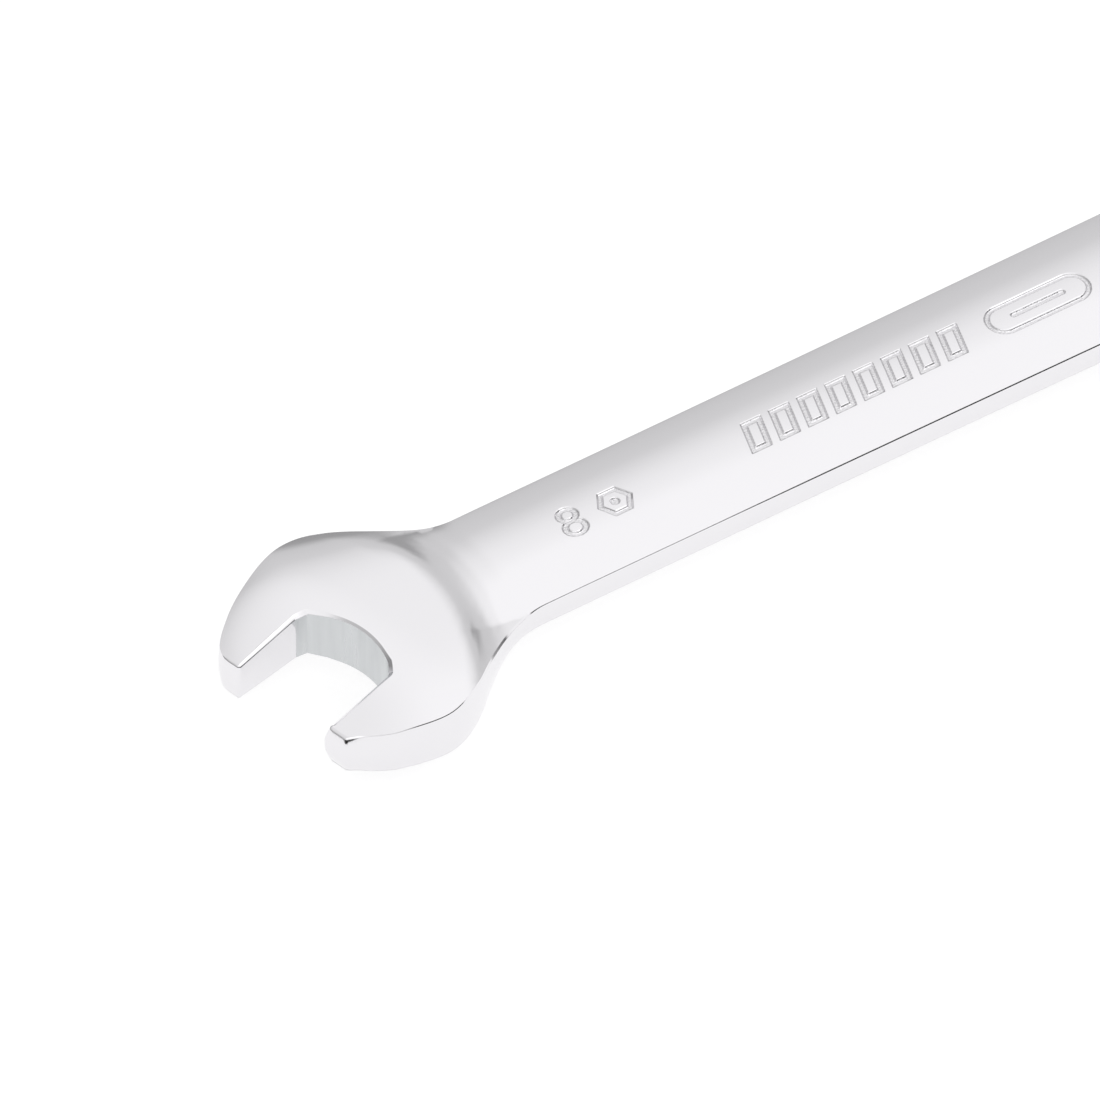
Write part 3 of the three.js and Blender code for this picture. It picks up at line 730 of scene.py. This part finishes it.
# ---- spring behind the plunger -----------------------------------------------------------------------
def spring_mesh(material):
    """A coil lying along the pawl's travel, with a closed turn at each end."""
    share = np.linspace(0, 1, SPRING_TURNS * 36 + 1)
    pace = 0.35 + 0.3 * smooth_step(0.14, 0.24, share) * smooth_step(0.86, 0.76, share)
    rise = np.concatenate([[0], np.cumsum((pace[1:] + pace[:-1]) / 2)])
    rise = SPRING_START + WIRE_R + 0.01 + rise / rise[-1] * (SPRING_LENGTH - 2 * WIRE_R - 0.02)
    angle = share * SPRING_TURNS * 2 * math.pi
    along, across, up = np.array([*ALONG, 0]), np.array([*ACROSS, 0]), np.array([0, 0, 1])
    radial = np.outer(np.sin(angle), across) - np.outer(np.cos(angle), up)
    centre = np.outer(rise, along) + across * SPRING_LINE + radial * COIL_R
    heading = unit(np.gradient(centre, axis=0))
    aside = np.cross(heading, radial)
    build = Builder()
    turn = np.linspace(0, 2 * math.pi, 13)[:-1]  # the wire is a twelve-sided round
    rings = []
    for c, r, s in zip(centre, radial, aside):
        n = np.outer(np.cos(turn), r) + np.outer(np.sin(turn), s)
        rings.append(build.add(c + WIRE_R * n, n) + np.arange(len(turn)))
    for a, b in zip(rings[:-1], rings[1:]):
        build.strip(b, a)
    for ring, way, order in ((rings[0], -heading[0], -1), (rings[-1], heading[-1], 1)):
        start = build.add([build.points[i] for i in ring], [way] * len(ring))
        build.face(range(start, start + len(ring))[::order])
    return build.make("pawl_spring_coil", [material], (RING_X, AXIS_Y, MID_Z))


# ---- materials ---------------------------------------------------------------------------------------
def new_material(name, colour, metallic, roughness):
    material = bpy.data.materials.new(name)
    material.use_nodes = True
    shader = material.node_tree.nodes["Principled BSDF"]
    shader.inputs["Base Color"].default_value = (*colour, 1)
    shader.inputs["Metallic"].default_value = metallic
    shader.inputs["Roughness"].default_value = roughness
    return material, material.node_tree.nodes, material.node_tree.links, shader


def streaks(nodes, links, stretch, scale, detail=3.0):
    """Noise drawn out along one direction, in the object's own space."""
    where = nodes.new("ShaderNodeTexCoord")
    mapping = nodes.new("ShaderNodeMapping")
    mapping.inputs["Scale"].default_value = stretch
    noise = nodes.new("ShaderNodeTexNoise")
    noise.inputs["Scale"].default_value = scale
    noise.inputs["Detail"].default_value = detail
    links.new(where.outputs["Object"], mapping.inputs["Vector"])
    links.new(mapping.outputs["Vector"], noise.inputs["Vector"])
    return noise


def spread(nodes, links, source, low, high, to_low, to_high):
    """A value's range from low to high mapped onto another range."""
    scale = nodes.new("ShaderNodeMapRange")
    scale.inputs["From Min"].default_value = low
    scale.inputs["From Max"].default_value = high
    scale.inputs["To Min"].default_value = to_low
    scale.inputs["To Max"].default_value = to_high
    links.new(source, scale.inputs["Value"])
    return scale


def add_bump(nodes, links, relief, strength, distance):
    bump = nodes.new("ShaderNodeBump")
    bump.inputs["Strength"].default_value = strength
    bump.inputs["Distance"].default_value = distance
    links.new(relief, bump.inputs["Height"])
    return bump


def chrome():
    """Plating with fine lengthwise polishing lines, and a grained floor in the stamped marks."""
    material, nodes, links, shader = new_material("polished_chrome", (0.805, 0.795, 0.815), 1.0, 0.09)
    lines = streaks(nodes, links, (60, 900, 900), 6.0)
    clouds = streaks(nodes, links, (1, 1, 1), 90.0)
    polish = spread(nodes, links, clouds.outputs["Fac"], 0.3, 0.7, 0.07, 0.13)
    stamped = nodes.new("ShaderNodeAttribute")
    stamped.attribute_name = "stamped"
    grain = streaks(nodes, links, (1, 1, 1), 7000.0, 2.0)
    rough = nodes.new("ShaderNodeMix")
    rough.data_type = "FLOAT"
    links.new(stamped.outputs["Fac"], rough.inputs["Factor"])
    links.new(polish.outputs["Result"], rough.inputs["A"])
    rough.inputs["B"].default_value = 0.2
    links.new(rough.outputs["Result"], shader.inputs["Roughness"])
    fine = add_bump(nodes, links, lines.outputs["Fac"], 0.05, 0.00002)
    floor_grain = add_bump(nodes, links, grain.outputs["Fac"], 1.0, 0.00006)
    links.new(stamped.outputs["Fac"], floor_grain.inputs["Strength"])
    links.new(fine.outputs["Normal"], floor_grain.inputs["Normal"])
    links.new(floor_grain.outputs["Normal"], shader.inputs["Normal"])
    return material


def machined():
    """The jaw's milled flats and throat, with streaks that run from face to face."""
    material, nodes, links, shader = new_material("machined_steel", (0.63, 0.645, 0.655), 1.0, 0.34)
    cut = streaks(nodes, links, (2600, 2600, 120), 1.0, 4.0)
    shade = spread(nodes, links, cut.outputs["Fac"], 0.3, 0.7, 0.24, 0.46)
    links.new(shade.outputs["Result"], shader.inputs["Roughness"])
    bump = add_bump(nodes, links, cut.outputs["Fac"], 0.25, 0.00005)
    links.new(bump.outputs["Normal"], shader.inputs["Normal"])
    return material


def plain_metal(name, colour, roughness):
    """A ground or oxidised metal with a fine even grain."""
    material, nodes, links, shader = new_material(name, colour, 1.0, roughness)
    noise = streaks(nodes, links, (1, 1, 1), 2500.0, 4.0)
    shade = spread(nodes, links, noise.outputs["Fac"], 0.3, 0.7, roughness * 0.75, roughness * 1.3)
    links.new(shade.outputs["Result"], shader.inputs["Roughness"])
    bump = add_bump(nodes, links, noise.outputs["Fac"], 0.2, 0.00003)
    links.new(bump.outputs["Normal"], shader.inputs["Normal"])
    return material


def rubber():
    material, nodes, links, shader = new_material("seal_rubber", (0.02, 0.02, 0.022), 0.0, 0.7)
    noise = streaks(nodes, links, (1, 1, 1), 3000.0, 3.0)
    bump = add_bump(nodes, links, noise.outputs["Fac"], 0.3, 0.00003)
    links.new(bump.outputs["Normal"], shader.inputs["Normal"])
    return material


chrome_finish = chrome()
machined_finish = machined()
satin_finish = plain_metal("satin_chrome", (0.60, 0.61, 0.63), 0.22)
finishes = {
    "ratchet_gear": satin_finish,
    "pawl": plain_metal("hardened_steel", (0.36, 0.36, 0.37), 0.32),
    "spring_plunger": plain_metal("zinc_plate", (0.5, 0.52, 0.54), 0.35),
    "pawl_spring": plain_metal("spring_steel", (0.30, 0.30, 0.31), 0.28),
    "cover_plate": plain_metal("cover_oxide", (0.06, 0.06, 0.065), 0.42),
    "retaining_ring": plain_metal("clip_oxide", (0.08, 0.08, 0.085), 0.36),
    "dust_seal": rubber(),
}

# ---- the pieces --------------------------------------------------------------------------------------
body_skin = forging_mesh([chrome_finish, machined_finish, satin_finish])
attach(body_skin, "wrench")
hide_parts("wrench_body")

coil = spring_mesh(finishes.pop("pawl_spring"))
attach(coil, "wrench")
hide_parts("pawl_spring")
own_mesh(coil)


def dress(node, material, bevel):
    """A CAD node's own material, and a small bevel on its sharp edges."""
    obj = frame["nodes"][node]
    obj.data.materials.clear()
    obj.data.materials.append(material)
    for polygon in obj.data.polygons:
        polygon.use_smooth = True
    if bevel:
        round_over = obj.modifiers.new("edge", "BEVEL")
        round_over.width = bevel * MM
        round_over.segments = 2
        round_over.limit_method = "ANGLE"
        round_over.angle_limit = math.radians(35)
        round_over.harden_normals = True


for node, material in finishes.items():
    dress(node, material, 0 if node == "dust_seal" else 0.05)

# ---- floor, light and camera -------------------------------------------------------------------------
def floor():
    """A plain pale table under the tool."""
    bpy.ops.mesh.primitive_plane_add(size=8, location=(0, 0, -0.0003))
    plane = bpy.context.object
    plane.name = "floor"
    material, nodes, links, shader = new_material("floor_paint", (0.35, 0.35, 0.35), 0.0, 0.9)
    shader.inputs["Specular IOR Level"].default_value = 0.0
    shader.inputs["Emission Color"].default_value = (1, 1, 1, 1)
    shader.inputs["Emission Strength"].default_value = 0.76
    plane.data.materials.append(material)


# the camera's bearing, its distance in metres, and where it looks, in the forging's own millimetres
AZIMUTH, ELEVATION, DISTANCE = math.radians(-33.0), math.radians(46.5), 0.9
AIM_ALONG, AIM_ACROSS = 20.23, -0.195
BACK = Vector((math.sin(AZIMUTH) * math.cos(ELEVATION), -math.cos(AZIMUTH) * math.cos(ELEVATION),
               math.sin(ELEVATION)))


def camera():
    data = bpy.data.cameras.new("camera")
    data.lens = 435.9
    data.sensor_width = 36
    data.clip_start = 0.05
    data.clip_end = 20
    cam = bpy.data.objects.new("camera", data)
    bpy.context.scene.collection.objects.link(cam)
    aim = Vector(((NUT_X + AIM_ALONG) * MM, (AXIS_Y + AIM_ACROSS) * MM, MID_Z * MM))
    cam.location = aim + BACK * DISTANCE
    cam.rotation_euler = (-BACK).to_track_quat("-Z", "Y").to_euler()
    bpy.context.scene.camera = cam


def tent():
    """A white studio tent: bright overhead and greyer to the horizon."""
    world = bpy.data.worlds.new("tent")
    bpy.context.scene.world = world
    world.use_nodes = True
    nodes, links = world.node_tree.nodes, world.node_tree.links
    back = nodes["Background"]
    where = nodes.new("ShaderNodeTexCoord")
    parts = nodes.new("ShaderNodeSeparateXYZ")
    links.new(where.outputs["Generated"], parts.inputs["Vector"])
    rise = nodes.new("ShaderNodeValToRGB")
    headroom = 1.25  # the ramp's colours are divided by this to stay under 1, and the strength restores it
    stops = [(0.0, 0.36), (0.20, 0.42), (0.34, 0.70), (0.52, 0.76), (0.70, 1.02), (0.80, 1.14), (1.0, 1.15)]
    ramp = rise.color_ramp
    while len(ramp.elements) < len(stops):
        ramp.elements.new(0.5)
    for element, (at, value) in zip(ramp.elements, stops):
        element.position = at
        element.color = (value / headroom, value / headroom, value / headroom, 1)
    links.new(parts.outputs["Z"], rise.inputs["Fac"])

    def band(axis, low, high, to_low, to_high):
        """A smooth change of brightness along one direction of the tent."""
        scale = spread(nodes, links, parts.outputs[axis], low, high, to_low, to_high)
        scale.interpolation_type = "SMOOTHSTEP"
        return scale.outputs["Result"]

    def combine(operation, a, b):
        maths = nodes.new("ShaderNodeMath")
        maths.operation = operation
        links.new(a, maths.inputs[0])
        links.new(b, maths.inputs[1])
        return maths.outputs[0]

    # a dark gap low on the near side, between the table and the tent's skirt
    gap = combine("MULTIPLY", band("Y", -0.05, -0.2, 0, 0.97), band("Z", 0.40, 0.30, 0, 1))
    lit = nodes.new("ShaderNodeMath")
    lit.operation = "SUBTRACT"
    lit.inputs[0].default_value = 1.0
    links.new(gap, lit.inputs[1])
    strength = combine("MULTIPLY", lit.outputs[0], band("X", 0.10, 0.33, 0.8 * headroom, headroom))
    strength = combine("MULTIPLY", strength, band("Y", 0.0, -0.3, 1.0, 1.45))
    links.new(rise.outputs["Color"], back.inputs["Color"])
    links.new(strength, back.inputs["Strength"])


floor()
camera()
tent()
scene = bpy.context.scene
scene.view_settings.view_transform = "Standard"

bpy.context.view_layer.update()
